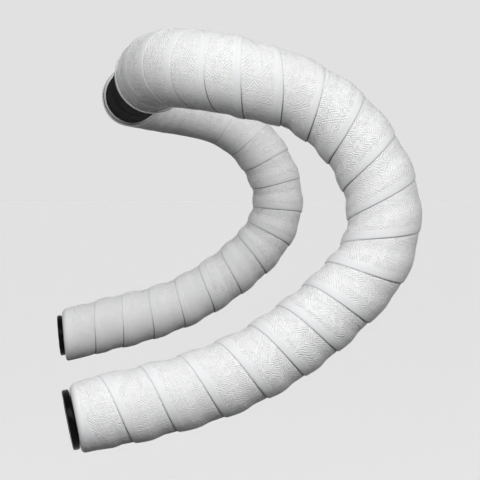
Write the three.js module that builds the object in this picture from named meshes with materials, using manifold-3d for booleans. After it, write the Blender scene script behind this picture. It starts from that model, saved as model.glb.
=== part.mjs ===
// A taped drop handlebar: a bent hollow bar with cushioned tape wound on both sides, a push-in plug in each
// bar end and a strip of finishing tape where each winding ends beside the bare middle.
// Millimetres. X points forwards, Y to the rider's left and Z up. The origin is the centre of the stem clamp.

import * as THREE from "three";
import { mergeVertices } from "three/addons/utils/BufferGeometryUtils.js";
import Module from "manifold-3d";

const wasm = await Module();
wasm.setup();

const degree = Math.PI / 180;
const fullTurn = 2 * Math.PI;

// Bar: the centreline, from the stem clamp out to the bar end
const barWidth = 420;
const cornerRadius = 35.2;
const rampSlope = 8.8 * degree;
const rampLength = 7.3;
const upperHookRadius = 66.2;
const upperHookAngle = 62.8 * degree;
const lowerHookRadius = 42.4;
const lowerHookAngle = 61 * degree;
const dropBendRadius = 165;
const dropBendAngle = 33.7 * degree;
const dropLength = 40.3;
const flare = 5.9 * degree;

// Bar: the tube
const tubeDiameter = 23.8;
const tubeWall = 1.6;
const clampDiameter = 31.8;
const clampHalfLength = 128;
const taperLength = 26;

// Tape: a cushioned strip, wound from each bar end towards the middle
const tapeWidth = 30;
const tapeThickness = 2.7;
const tapeEdgeThickness = 0.9;
const tapeFullness = 0.7;
const tapeFeather = 6;
const layersDeep = 1.5;
const rightPitch = 17.7;
const rightCornerPitch = 10.5;
const rightFirstEdge = 17.5;
const leftPitch = 18.1;
const leftCornerPitch = 11.5;
const leftFirstEdge = 26;
const rightEndBuildUp = -0.2;
const leftEndBuildUp = 0.8;
const endBuildUpLength = 90;
const cornerBuildUp = 1.3;
const cornerBuildUpLength = 90;
const topsBuildUpLength = 30;
const edgeTrail = 8;
const bareHalfLength = 129.3;
const tapeEndThickness = 1;
const finishFade = 9;
const endCover = 1.6;
const lipRadius = 3;
const tuckThickness = 1;
const tuckDepth = 12;

// Finishing tape
const finishingWidth = 13;
const finishingThickness = 0.5;

// End plugs
const plugDiameter = 25.8;
const plugFlange = 3;
const plugFlangeRounding = 1.1;
const plugShankLength = 15;
const plugShankNeck = 0.9;
const plugWall = 1.8;
const plugBarbs = 3;
const plugBarbSlope = 0.6;
const plugBarbBack = 0.1;
const plugLean = 4.2 * degree;

// Fits between pieces that touch
const clearance = 0.3;

// Fineness of the curved surfaces
const bendStep = 11 * degree;
const leastStep = 0.5;
const surfaceStep = 1.5;
const envelopeStep = 0.02;
const taperSteps = 4;
const barSides = 20;
const boreSides = 12;
const tapeSides = 16;
const bandColumns = [0, 0.06, 0.3, 0.68];
const roundSegments = 32;
const plugSegments = 22;
const roundingSteps = 3;

// Spare lengths and turns, which are cut off again
const borePast = 1;
const throatPast = 3;
const turnsBefore = 3;
const turnsAfter = 2;
const railMarginTurns = 4;

const tubeRadius = tubeDiameter / 2;
const clampRadius = clampDiameter / 2;
const windingRadius = tubeRadius + clearance + layersDeep * tapeThickness;

// Centreline, followed from the middle of the bar outwards on the right-hand side

class Centreline {
  constructor(place, forward, side) {
    this.pieces = [];
    this.length = 0;
    this.place = place;
    this.forward = forward;
    this.side = side;
  }

  // The frame a given way along a piece: the place, the way forward and a side that never twists.
  frameOn(piece, way) {
    const { place, forward, towards, normal, radius, inPlane, offPlane } = piece;
    if (!radius) {
      return { place: place.clone().addScaledVector(forward, way), forward, side: piece.side };
    }
    const angle = way / radius;
    const ahead = forward.clone().multiplyScalar(Math.cos(angle)).addScaledVector(towards, Math.sin(angle));
    const inward = towards.clone().multiplyScalar(Math.cos(angle)).addScaledVector(forward, -Math.sin(angle));
    const spot = place.clone().addScaledVector(towards, radius).addScaledVector(inward, -radius);
    const side = inward.clone().multiplyScalar(inPlane).addScaledVector(normal, offPlane);
    return { place: spot, forward: ahead, side };
  }

  add(piece) {
    piece.from = this.length;
    this.pieces.push(piece);
    this.length += piece.length;
    const last = this.frameOn(piece, piece.length);
    this.place = last.place;
    this.forward = last.forward;
    this.side = last.side;
    return this;
  }

  line(length) {
    return this.add({ length, place: this.place, forward: this.forward, side: this.side });
  }

  bend(radius, angle, towards) {
    const normal = new THREE.Vector3().crossVectors(this.forward, towards);
    return this.add({
      length: radius * angle,
      radius,
      place: this.place,
      forward: this.forward,
      towards,
      normal,
      inPlane: this.side.dot(towards),
      offPlane: this.side.dot(normal),
    });
  }

  // A further bend in the same plane as the one before it.
  bendOn(radius, angle) {
    const before = this.pieces[this.pieces.length - 1];
    return this.bend(radius, angle, new THREE.Vector3().crossVectors(before.normal, this.forward));
  }

  at(distance) {
    let piece = this.pieces[0];
    for (const next of this.pieces) {
      if (distance >= next.from) piece = next;
    }
    return this.frameOn(piece, distance - piece.from);
  }
}

const outwards = new THREE.Vector3(0, -1, 0);
const rampForward = new THREE.Vector3(Math.cos(rampSlope), 0, -Math.sin(rampSlope));
const rampUp = new THREE.Vector3(Math.sin(rampSlope), 0, Math.cos(rampSlope));
const hookDown = rampUp.clone().multiplyScalar(-Math.cos(flare)).addScaledVector(outwards, Math.sin(flare));
const firstSide = rampForward.clone().multiplyScalar(-Math.cos(flare)).addScaledVector(rampUp, Math.sin(flare));

const topLength = barWidth / 2 - cornerRadius;
const centreline = new Centreline(new THREE.Vector3(), outwards, firstSide)
  .line(topLength)
  .bend(cornerRadius, Math.PI / 2, rampForward)
  .line(rampLength)
  .bend(upperHookRadius, upperHookAngle, hookDown)
  .bendOn(lowerHookRadius, lowerHookAngle)
  .bendOn(dropBendRadius, dropBendAngle)
  .line(dropLength + endCover + clearance);

// Stations are measured along the centreline from the taped end of the drop towards the middle of the bar.
const railLength = centreline.length;
const middleStation = railLength;
const barEndStation = endCover + clearance;
const tapeEndStation = railLength - bareHalfLength;
const finishStation = tapeEndStation - finishingWidth;
const cornerEnd = railLength - topLength;
const cornerStart = cornerEnd - (cornerRadius * Math.PI) / 2;

function frameAt(station) {
  const { place, forward, side } = centreline.at(railLength - station);
  const along = forward.clone().negate();
  const rise = new THREE.Vector3().crossVectors(along, side);
  return { place, along, side, rise };
}

function surfacePoint(station, angle, radius) {
  const { place, side, rise } = frameAt(station);
  return place
    .clone()
    .addScaledVector(side, radius * Math.cos(angle))
    .addScaledVector(rise, radius * Math.sin(angle));
}

// Turned pieces are made about the Y axis and then stood on their own axis.
const turnedAxis = new THREE.Vector3(0, 1, 0);

// The end plug's seat on the right-hand side, pushed in a little further along its top edge.
const barEnd = frameAt(0);
const plugAxis = barEnd.along.clone().negate().addScaledVector(barEnd.rise, -Math.tan(plugLean)).normalize();

function mix(low, high, share) {
  return low + (high - low) * share;
}

function clamp01(value) {
  return Math.min(Math.max(value, 0), 1);
}

function smooth(value) {
  const share = clamp01(value);
  return share * share * (3 - 2 * share);
}

// The bar's outer radius: full size at the clamp, tapering to the tube under the tape.
function barRadius(station) {
  const fromMiddle = middleStation - station;
  return mix(clampRadius, tubeRadius, smooth((fromMiddle - clampHalfLength) / taperLength));
}

// The stations that a smooth tube needs between two ends: every joint of the centreline, steps round its
// bends and steps along the taper.
function stationsBetween(low, high) {
  const stations = [low, high];
  for (const piece of centreline.pieces) {
    const steps = piece.radius ? Math.ceil(piece.length / piece.radius / bendStep) : 1;
    for (let step = 0; step <= steps; step += 1) {
      stations.push(railLength - piece.from - (piece.length * step) / steps);
    }
  }
  for (let step = 0; step <= taperSteps; step += 1) {
    stations.push(middleStation - clampHalfLength - (taperLength * step) / taperSteps);
  }
  const inside = stations.filter((station) => station >= low && station <= high).sort((a, b) => a - b);
  return inside.filter((station, index) => {
    if (index === 0 || station === high) return true;
    return station - inside[index - 1] > leastStep && high - station > leastStep;
  });
}

// Solids

function geometryOf(positions, indices) {
  const geometry = new THREE.BufferGeometry();
  geometry.setAttribute("position", new THREE.Float32BufferAttribute(positions, 3));
  geometry.setIndex(indices);
  return geometry;
}

function solidOf(geometry) {
  const bare = geometry.clone();
  bare.deleteAttribute("normal");
  bare.deleteAttribute("uv");
  const merged = mergeVertices(bare, 1e-4);
  const mesh = new wasm.Mesh({
    numProp: 3,
    vertProperties: new Float32Array(merged.attributes.position.array),
    triVerts: new Uint32Array(merged.index.array),
  });
  return new wasm.Manifold(mesh);
}

function geometryFromSolid(solid) {
  const mesh = solid.getMesh();
  const flat = geometryOf(Array.from(mesh.vertProperties), Array.from(mesh.triVerts)).toNonIndexed();
  flat.computeVertexNormals();
  return flat;
}

// The same geometry on the other side of the bar, with its faces still pointing out.
function mirrored(geometry) {
  const copy = geometry.clone();
  const place = copy.attributes.position;
  for (let index = 0; index < place.count; index += 3) {
    const second = new THREE.Vector3().fromBufferAttribute(place, index + 1);
    const third = new THREE.Vector3().fromBufferAttribute(place, index + 2);
    place.setY(index, -place.getY(index));
    place.setXYZ(index + 1, third.x, -third.y, third.z);
    place.setXYZ(index + 2, second.x, -second.y, second.z);
  }
  copy.computeVertexNormals();
  return copy;
}

// A closed skin through rings of points, with a fan over each end.
function skinOfRings(rings) {
  const sides = rings[0].length;
  const positions = rings.flat().flatMap((point) => [point.x, point.y, point.z]);
  const indices = [];
  for (let ring = 0; ring + 1 < rings.length; ring += 1) {
    for (let side = 0; side < sides; side += 1) {
      const next = (side + 1) % sides;
      const a = ring * sides + side;
      const b = ring * sides + next;
      indices.push(a, b, b + sides, a, b + sides, a + sides);
    }
  }
  for (const [ring, outwardFirst] of [[0, false], [rings.length - 1, true]]) {
    const middle = rings[ring].reduce((sum, point) => sum.add(point), new THREE.Vector3()).divideScalar(sides);
    const centre = positions.length / 3;
    positions.push(middle.x, middle.y, middle.z);
    for (let side = 0; side < sides; side += 1) {
      const a = ring * sides + side;
      const b = ring * sides + ((side + 1) % sides);
      indices.push(centre, outwardFirst ? a : b, outwardFirst ? b : a);
    }
  }
  return geometryOf(positions, indices);
}

// A solid rod along the centreline through rings, each a station, a radius and how far its plane leans.
function rodThrough(profile, sides) {
  const rings = profile.map(([station, radius, lean = 0]) => {
    return Array.from({ length: sides }, (_, side) => {
      const angle = (fullTurn * side) / sides;
      return surfacePoint(station - radius * Math.sin(angle) * Math.tan(lean), angle, radius);
    });
  });
  return solidOf(skinOfRings(rings));
}

function rodAlongBar(low, high, radiusAt, sides) {
  return rodThrough(stationsBetween(low, high).map((station) => [station, radiusAt(station)]), sides);
}

// Bar

function buildBar() {
  const outside = rodAlongBar(barEndStation, middleStation, barRadius, barSides);
  const bore = rodThrough(
    stationsBetween(barEndStation - borePast, middleStation + borePast).map((station) => {
      return [station, barRadius(Math.min(station, middleStation)) - tubeWall];
    }),
    boreSides,
  );
  const half = geometryFromSolid(outside.subtract(bore));
  return geometryFromSolid(solidOf(half).add(solidOf(mirrored(half))));
}

// Tape

// How thick the strip is a given way in from its exposed edge: thickest along its middle. Its hidden edge
// thins out to nothing, where the next layer bridges over it.
function stripThickness(fromEdge) {
  if (fromEdge < 0 || fromEdge > tapeWidth) return 0;
  const swell = Math.sin((Math.PI * fromEdge) / tapeWidth) ** tapeFullness;
  const fall = Math.cos((clamp01((fromEdge - tapeWidth + tapeFeather) / tapeFeather) * Math.PI) / 2);
  return mix(tapeEdgeThickness, tapeThickness, swell) * fall;
}

// The wound layers at a share of the way from one exposed edge to the next.
function layersAt(share, pitch) {
  let total = 0;
  for (let fromEdge = share * pitch; fromEdge <= tapeWidth; fromEdge += pitch) {
    total += stripThickness(fromEdge);
  }
  return total;
}

// What the hand-wound turns add where they crowd: near the bar end and round the corner.
function buildUpAt(station, winding) {
  const nearEnd = winding.endBuildUp * (1 - smooth(station / endBuildUpLength));
  const beforeCorner = smooth(1 - (cornerStart - station) / cornerBuildUpLength);
  const pastCorner = smooth((station - cornerEnd) / topsBuildUpLength);
  return nearEnd + cornerBuildUp * (beforeCorner - pastCorner);
}

// Lengths along the wound surface at one angle round the bar, so that the bends count: the outside of a
// bend is longer than its inside.
class SurfaceLine {
  constructor(angle, low, high) {
    this.stations = [];
    this.lengths = [];
    let last = surfacePoint(low, angle, windingRadius);
    let length = 0;
    for (let station = low; station <= high; station += surfaceStep) {
      const point = surfacePoint(station, angle, windingRadius);
      length += point.distanceTo(last);
      last = point;
      this.stations.push(station);
      this.lengths.push(length);
    }
  }

  static interpolate(value, from, to) {
    let low = 0;
    let high = from.length - 1;
    while (high - low > 1) {
      const middle = (low + high) >> 1;
      if (from[middle] <= value) low = middle;
      else high = middle;
    }
    return mix(to[low], to[high], (value - from[low]) / (from[high] - from[low]));
  }

  // The station a given length of surface before another station.
  behind(station, length) {
    const here = SurfaceLine.interpolate(station, this.stations, this.lengths);
    return SurfaceLine.interpolate(here - length, this.lengths, this.stations);
  }
}

// The station that a count of turns reaches. The turns lie closer together round the corner.
function stationOfTurns(turns, winding) {
  const { pitch, cornerPitch, firstEdge } = winding;
  const straight = firstEdge + turns * pitch;
  if (straight <= cornerStart) return straight;
  const round = cornerStart + ((straight - cornerStart) / pitch) * cornerPitch;
  if (round <= cornerEnd) return round;
  return cornerEnd + ((round - cornerEnd) / cornerPitch) * pitch;
}

// The winding as a skin over a solid core, longer than the tape at both ends. Its rows follow the helix, so
// a row that has gone once round meets the row one turn further on.
function windingSkin(winding) {
  const { pitch } = winding;
  const railMargin = railMarginTurns * pitch;
  const columns = bandColumns.length;
  const finishTurns = (tapeEndStation - winding.firstEdge) / pitch;
  const closerTurns = (cornerEnd - cornerStart) * (1 / winding.cornerPitch - 1 / pitch);
  const bands = Math.ceil(turnsBefore + finishTurns + closerTurns) + turnsAfter;
  const seatRadius = clampRadius + clearance + tapeEndThickness;
  const lines = Array.from({ length: tapeSides }, (_, side) => {
    return new SurfaceLine((fullTurn * side) / tapeSides, -railMargin, tapeEndStation + railMargin);
  });

  // Where the exposed edge lies: it trails the evenly wound middle of its band by a length of real surface.
  const edgeStation = (turns, side) => {
    const middle = stationOfTurns(turns, winding) + edgeTrail;
    return lines[side].behind(middle, edgeTrail);
  };
  const radiusAt = (station, share) => {
    const wound = barRadius(station) + clearance + layersAt(share, pitch) + buildUpAt(station, winding);
    const seated = seatRadius + clearance;
    return mix(wound, seated, smooth((station - finishStation + finishFade) / finishFade));
  };

  const positions = [];
  const rows = bands * columns + 1;
  for (let row = 0; row < rows; row += 1) {
    const band = Math.floor(row / columns);
    const share = bandColumns[row % columns];
    for (let side = 0; side < tapeSides; side += 1) {
      const angle = (fullTurn * side) / tapeSides;
      const turns = band - turnsBefore + side / tapeSides;
      const station = mix(edgeStation(turns, side), edgeStation(turns + 1, side), share);
      const height = share === 0 ? 1 : share;
      const point = surfacePoint(station, angle, radiusAt(station, height));
      positions.push(point.x, point.y, point.z);
    }
  }

  const indices = [];
  const vertex = (row, side) => (side < tapeSides ? row * tapeSides + side : (row + columns) * tapeSides);
  for (let row = 0; row + 1 + columns < rows; row += 1) {
    for (let side = 0; side < tapeSides; side += 1) {
      const a = vertex(row, side);
      const b = vertex(row, side + 1);
      const c = vertex(row + 1, side + 1);
      const d = vertex(row + 1, side);
      indices.push(a, b, c, a, c, d);
    }
  }
  return { positions, indices, rows, columns, vertex };
}

// Closes the winding's two helical ends with fans, each from a point on the centreline.
function closedWinding(winding) {
  const { positions, indices, rows, columns, vertex } = windingSkin(winding);
  const lastRow = rows - 1 - columns;
  const rim = (row) => {
    const loop = [];
    for (let side = 0; side <= tapeSides; side += 1) {
      loop.push(vertex(row, side));
    }
    for (let step = columns - 1; step > 0; step -= 1) {
      loop.push(vertex(row + step, 0));
    }
    return loop;
  };
  const fan = (loop, outwardFirst) => {
    const sum = new THREE.Vector3();
    for (const index of loop) {
      sum.add(new THREE.Vector3(...positions.slice(3 * index, 3 * index + 3)));
    }
    sum.divideScalar(loop.length);
    const centre = positions.length / 3;
    positions.push(sum.x, sum.y, sum.z);
    loop.forEach((index, place) => {
      const next = loop[(place + 1) % loop.length];
      indices.push(centre, outwardFirst ? index : next, outwardFirst ? next : index);
    });
  };
  fan(rim(0), false);
  fan(rim(lastRow), true);
  return geometryOf(positions, indices);
}

// The space that the tape may fill: rounded over at the bar end, and drawn in to a plain seat under the
// finishing tape.
function tapeEnvelope(winding) {
  const widest = clampRadius + clearance + 2 * tapeThickness + cornerBuildUp;
  const seatRadius = clampRadius + clearance + tapeEndThickness;
  const endRadius = tubeRadius + clearance + layersAt(1, winding.pitch) + tapeEdgeThickness + winding.endBuildUp;
  const profile = [];
  for (let turn = 0; turn <= roundingSteps; turn += 1) {
    const angle = (Math.PI / 2) * (turn / roundingSteps);
    profile.push([lipRadius * (1 - Math.cos(angle)), endRadius - lipRadius * (1 - Math.sin(angle)), plugLean]);
  }
  const wideEnd = finishStation - clearance - envelopeStep;
  const wideStations = stationsBetween(lipRadius + envelopeStep, wideEnd);
  wideStations.forEach((station, index) => profile.push([station, widest, index === 0 ? plugLean : 0]));
  profile.push([finishStation - clearance, seatRadius]);
  profile.push([tapeEndStation, seatRadius]);
  return rodThrough(profile, tapeSides);
}

// The tape is wound over the bar and its first turn is folded over the bar end and tucked into the bore.
function buildTape(winding) {
  const roomRadius = (station) => barRadius(station) + clearance;
  const barRoom = rodAlongBar(barEndStation - clearance, middleStation, roomRadius, barSides);
  const tuckRadius = tubeRadius - tubeWall - clearance;
  const tuck = rodThrough([[endCover / 2, tuckRadius], [tuckDepth, tuckRadius]], boreSides);
  const plugRoom = tuckRadius - tuckThickness;
  const throatDepth = tuckDepth + throatPast;
  const throatLength = throatDepth + throatPast;
  const throatGeometry = new THREE.CylinderGeometry(plugRoom, plugRoom, throatLength, boreSides);
  throatGeometry.translate(0, (throatPast - throatDepth) / 2, 0);
  throatGeometry.applyQuaternion(new THREE.Quaternion().setFromUnitVectors(turnedAxis, plugAxis));
  throatGeometry.translate(barEnd.place.x, barEnd.place.y, barEnd.place.z);
  const throat = solidOf(throatGeometry);
  const wound = solidOf(closedWinding(winding)).intersect(tapeEnvelope(winding));
  return geometryFromSolid(wound.subtract(barRoom).add(tuck).subtract(throat));
}

// Turned pieces

function latheOf(outline, segments) {
  const points = outline.map(([radius, height]) => new THREE.Vector2(radius, height));
  return geometryFromSolid(solidOf(new THREE.LatheGeometry(points, segments)));
}

// The plug's outline, with its height measured outwards from the bar's end face of tape.
function buildPlug() {
  const flangeRadius = plugDiameter / 2;
  const facetRoom = Math.cos(Math.PI / boreSides);
  const throatRadius = (tubeRadius - tubeWall - clearance - tuckThickness) * facetRoom;
  const barbRadius = throatRadius - clearance;
  const neckRadius = barbRadius - plugShankNeck;
  const hollowRadius = neckRadius - plugWall;
  const top = clearance + plugFlange;
  const foot = clearance - plugShankLength;
  const barbPitch = plugShankLength / plugBarbs;
  const outline = [[0, top - plugWall], [hollowRadius, top - plugWall], [hollowRadius, foot]];
  for (let barb = 0; barb < plugBarbs; barb += 1) {
    const low = foot + barbPitch * barb;
    const peak = low + plugBarbSlope * barbPitch;
    outline.push([neckRadius, low], [barbRadius, peak], [neckRadius, peak + plugBarbBack * barbPitch]);
  }
  outline.push([neckRadius, clearance]);
  for (const [level, from] of [[clearance + plugFlangeRounding, -1], [top - plugFlangeRounding, 0]]) {
    for (let step = 0; step <= roundingSteps; step += 1) {
      const angle = (Math.PI / 2) * (step / roundingSteps + from);
      outline.push([
        flangeRadius - plugFlangeRounding * (1 - Math.cos(angle)),
        level + plugFlangeRounding * Math.sin(angle),
      ]);
    }
  }
  outline.push([0, top]);
  return latheOf(outline, plugSegments);
}

// A ring of finishing tape, with its height measured from the end of the winding towards the bar end.
function buildFinishingTape() {
  const inner = clampRadius + clearance + tapeEndThickness + clearance;
  const outer = inner + finishingThickness;
  return latheOf([[inner, 0], [outer, 0], [outer, finishingWidth], [inner, finishingWidth], [inner, 0]], roundSegments);
}

// Materials

const barBlack = { color: 0x141416, roughness: 0.4, metalness: 0.3 };
const tapeWhite = { color: 0xe8e9ea, roughness: 0.8, metalness: 0 };
const plugBlack = { color: 0x0b0b0c, roughness: 0.25, metalness: 0 };
const finishWhite = { color: 0xdfe0e2, roughness: 0.45, metalness: 0 };

function nodeOf(name, geometry, finish) {
  const mesh = new THREE.Mesh(geometry, new THREE.MeshStandardMaterial(finish));
  mesh.name = name;
  return mesh;
}

// Assembly

const rightWinding = {
  pitch: rightPitch,
  cornerPitch: rightCornerPitch,
  firstEdge: rightFirstEdge,
  endBuildUp: rightEndBuildUp,
};
const leftWinding = {
  pitch: leftPitch,
  cornerPitch: leftCornerPitch,
  firstEdge: leftFirstEdge,
  endBuildUp: leftEndBuildUp,
};

const handlebar = new THREE.Group();
handlebar.add(nodeOf("handlebar", buildBar(), barBlack));
handlebar.add(nodeOf("tape_right", buildTape(rightWinding), tapeWhite));
handlebar.add(nodeOf("tape_left", mirrored(buildTape(leftWinding)), tapeWhite));

for (const [side, sign] of [["right", -1], ["left", 1]]) {
  const plug = nodeOf(`end_plug_${side}`, buildPlug(), plugBlack);
  plug.position.set(barEnd.place.x, -sign * barEnd.place.y, barEnd.place.z);
  plug.quaternion.setFromUnitVectors(turnedAxis, new THREE.Vector3(plugAxis.x, -sign * plugAxis.y, plugAxis.z));
  handlebar.add(plug);

  const finishing = nodeOf(`finishing_tape_${side}`, buildFinishingTape(), finishWhite);
  finishing.position.set(0, sign * bareHalfLength, 0);
  finishing.quaternion.setFromUnitVectors(turnedAxis, new THREE.Vector3(0, sign, 0));
  handlebar.add(finishing);
}

export default handlebar;
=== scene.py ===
"""A taped drop handlebar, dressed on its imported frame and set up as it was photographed.

Lengths are metres. X points forwards, Y to the rider's left and Z up, from the centre of the stem clamp.
Stations are measured along the bar's centreline, from the taped end of a drop towards the middle.
"""

import logging
import math
from collections.abc import Callable
from dataclasses import dataclass, field
from enum import Enum

import bpy
import numpy as np
from mathutils import Euler, Matrix, Vector


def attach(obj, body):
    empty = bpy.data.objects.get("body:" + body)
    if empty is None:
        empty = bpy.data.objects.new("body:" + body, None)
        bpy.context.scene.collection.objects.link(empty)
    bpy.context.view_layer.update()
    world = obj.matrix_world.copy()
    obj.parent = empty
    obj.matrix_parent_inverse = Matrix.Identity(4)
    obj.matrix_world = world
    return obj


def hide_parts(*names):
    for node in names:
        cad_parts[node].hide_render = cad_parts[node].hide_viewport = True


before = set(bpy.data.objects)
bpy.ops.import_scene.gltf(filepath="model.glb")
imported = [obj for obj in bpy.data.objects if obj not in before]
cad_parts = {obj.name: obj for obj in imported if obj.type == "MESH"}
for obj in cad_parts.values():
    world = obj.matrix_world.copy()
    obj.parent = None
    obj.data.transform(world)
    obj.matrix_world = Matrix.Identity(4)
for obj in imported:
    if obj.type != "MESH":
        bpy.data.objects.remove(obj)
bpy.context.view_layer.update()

MM = 0.001
FULL_TURN = 2 * math.pi

log = logging.getLogger("taped_handlebar")


class Side(Enum):
    """The two sides of the handlebar, each with the sign of its Y."""

    RIGHT = -1
    LEFT = 1

    @property
    def word(self) -> str:
        """The side's name, as the frame's nodes spell it."""
        return self.name.lower()


class Slot(Enum):
    """The record's material slots."""

    BAR = "bar"
    TAPE = "tape"
    PLUG = "plug"
    FINISHING_TAPE = "finishing_tape"


def smooth(value: np.ndarray) -> np.ndarray:
    """An S-shaped rise from 0 to 1 while the value goes from 0 to 1.

    Args:
        value: Any numbers.

    Returns:
        Numbers from 0 to 1.
    """
    share = np.clip(value, 0.0, 1.0)
    return share * share * (3 - 2 * share)


def smooth_bump(share: np.ndarray) -> np.ndarray:
    """A bump that rises from 0 to 1 and falls back while the share goes from 0 to 1."""
    inside = (share > 0) & (share < 1)
    return np.where(inside, np.sin(math.pi * np.clip(share, 0, 1)) ** 2, 0.0)


def mix(low: np.ndarray, high: np.ndarray, share: np.ndarray) -> np.ndarray:
    """The value a share of the way from low to high."""
    return low + (high - low) * share


def unit(vector: np.ndarray) -> np.ndarray:
    """The vector at length 1."""
    return vector / np.linalg.norm(vector)


# The bar's line

@dataclass(frozen=True)
class BarSizes:
    """The bar's driving dimensions, the same as the frame's."""

    width: float = 0.420
    corner_radius: float = 0.0352
    ramp_slope: float = math.radians(8.8)
    ramp_length: float = 0.0073
    upper_hook_radius: float = 0.0662
    upper_hook_angle: float = math.radians(62.8)
    lower_hook_radius: float = 0.0424
    lower_hook_angle: float = math.radians(61)
    drop_bend_radius: float = 0.165
    drop_bend_angle: float = math.radians(33.7)
    drop_length: float = 0.0403
    flare: float = math.radians(5.9)
    tube_radius: float = 0.0119
    clamp_radius: float = 0.0159
    tube_wall: float = 0.0016
    clamp_half_length: float = 0.128
    taper_length: float = 0.026
    end_cover: float = 0.0016
    clearance: float = 0.0003

    @property
    def top_length(self) -> float:
        """The straight top, from the middle out to the corner."""
        return self.width / 2 - self.corner_radius


@dataclass
class Stretch:
    """One line or bend of the centreline, followed from the middle of the bar outwards."""

    start: float
    length: float
    place: np.ndarray
    forward: np.ndarray
    side: np.ndarray
    radius: float = 0.0
    towards: np.ndarray = field(default_factory=lambda: np.zeros(3))

    @property
    def normal(self) -> np.ndarray:
        """The axis that the bend turns about."""
        return np.cross(self.forward, self.towards)

    def frames(self, way: np.ndarray) -> tuple[np.ndarray, np.ndarray, np.ndarray]:
        """The centreline's frames on this stretch.

        Args:
            way: Lengths from the start of the stretch.

        Returns:
            Places, directions outwards and side vectors, one row for each length.
        """
        way = way[:, None]
        if not self.radius:
            ones = np.ones_like(way)
            return self.place + self.forward * way, self.forward * ones, self.side * ones
        angle = way / self.radius
        ahead = self.forward * np.cos(angle) + self.towards * np.sin(angle)
        inward = self.towards * np.cos(angle) - self.forward * np.sin(angle)
        place = self.place + self.towards * self.radius - inward * self.radius
        side = inward * (self.side @ self.towards) + self.normal * (self.side @ self.normal)
        return place, ahead, side


class Centreline:
    """The bar's centreline on the right-hand side, as lines and round bends."""

    def __init__(self, sizes: BarSizes) -> None:
        """Follows the line from the middle of the bar out to the end of the tape.

        Args:
            sizes: The bar's driving dimensions.
        """
        self.sizes = sizes
        self.stretches: list[Stretch] = []
        self.length = 0.0
        slope, flare = sizes.ramp_slope, sizes.flare
        outwards = np.array([0.0, -1.0, 0.0])
        ramp_forward = np.array([math.cos(slope), 0.0, -math.sin(slope)])
        ramp_up = np.array([math.sin(slope), 0.0, math.cos(slope)])
        hook_down = -ramp_up * math.cos(flare) + outwards * math.sin(flare)
        self.place = np.zeros(3)
        self.forward = outwards
        self.side = -ramp_forward * math.cos(flare) + ramp_up * math.sin(flare)
        self.line(sizes.top_length)
        self.bend(sizes.corner_radius, math.pi / 2, ramp_forward)
        self.line(sizes.ramp_length)
        self.bend(sizes.upper_hook_radius, sizes.upper_hook_angle, hook_down)
        self.bend_on(sizes.lower_hook_radius, sizes.lower_hook_angle)
        self.bend_on(sizes.drop_bend_radius, sizes.drop_bend_angle)
        self.line(sizes.drop_length + sizes.end_cover + sizes.clearance)

    def add(self, stretch: Stretch) -> None:
        """Adds a stretch and moves on to its end."""
        self.stretches.append(stretch)
        self.length += stretch.length
        place, forward, side = stretch.frames(np.array([stretch.length]))
        self.place, self.forward, self.side = place[0], forward[0], side[0]

    def line(self, length: float) -> None:
        """Goes straight on for a length."""
        self.add(Stretch(self.length, length, self.place, self.forward, self.side))

    def bend(self, radius: float, angle: float, towards: np.ndarray) -> None:
        """Turns through an angle about a centre that lies a radius away in a direction."""
        self.add(Stretch(self.length, radius * angle, self.place, self.forward, self.side, radius, towards))

    def bend_on(self, radius: float, angle: float) -> None:
        """Turns further in the plane of the bend before."""
        self.bend(radius, angle, np.cross(self.stretches[-1].normal, self.forward))

    def frames(self, stations: np.ndarray) -> tuple[np.ndarray, np.ndarray, np.ndarray, np.ndarray]:
        """The frames at some stations.

        Args:
            stations: Lengths from the taped end towards the middle.

        Returns:
            Places, directions towards the middle, sides and rises, one row for each station.
        """
        distance = self.length - stations
        starts = np.array([stretch.start for stretch in self.stretches])
        chosen = np.clip(np.searchsorted(starts, distance, side="right") - 1, 0, None)
        place = np.zeros((len(stations), 3))
        along = np.zeros_like(place)
        side = np.zeros_like(place)
        for index, stretch in enumerate(self.stretches):
            here = chosen == index
            if here.any():
                spot, ahead, beside = stretch.frames(distance[here] - stretch.start)
                place[here], along[here], side[here] = spot, -ahead, beside
        return place, along, side, np.cross(along, side)

    def points(self, stations: np.ndarray, angles: np.ndarray, radii: np.ndarray) -> np.ndarray:
        """Points round the centreline.

        Args:
            stations: The station of each point.
            angles: The angle of each point, from the side towards the rise.
            radii: The distance of each point from the centreline.

        Returns:
            The points, in the shape of the stations with three numbers at the end.
        """
        stations, angles, radii = np.broadcast_arrays(stations, angles, radii)
        place, _, side, rise = self.frames(stations.ravel())
        across = (radii * np.cos(angles)).ravel()[:, None]
        above = (radii * np.sin(angles)).ravel()[:, None]
        return (place + side * across + rise * above).reshape(stations.shape + (3,))

    @property
    def corner_end(self) -> float:
        """The station where the corner meets the straight top."""
        return self.length - self.sizes.top_length

    @property
    def corner_start(self) -> float:
        """The station where the corner meets the ramp."""
        return self.corner_end - self.sizes.corner_radius * math.pi / 2

    def bar_radius(self, stations: np.ndarray) -> np.ndarray:
        """The bar's outer radius: full size at the clamp, tapering to the tube under the tape."""
        sizes = self.sizes
        taper = (self.length - stations - sizes.clamp_half_length) / sizes.taper_length
        return mix(sizes.clamp_radius, sizes.tube_radius, smooth(taper))


# Node materials

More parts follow.
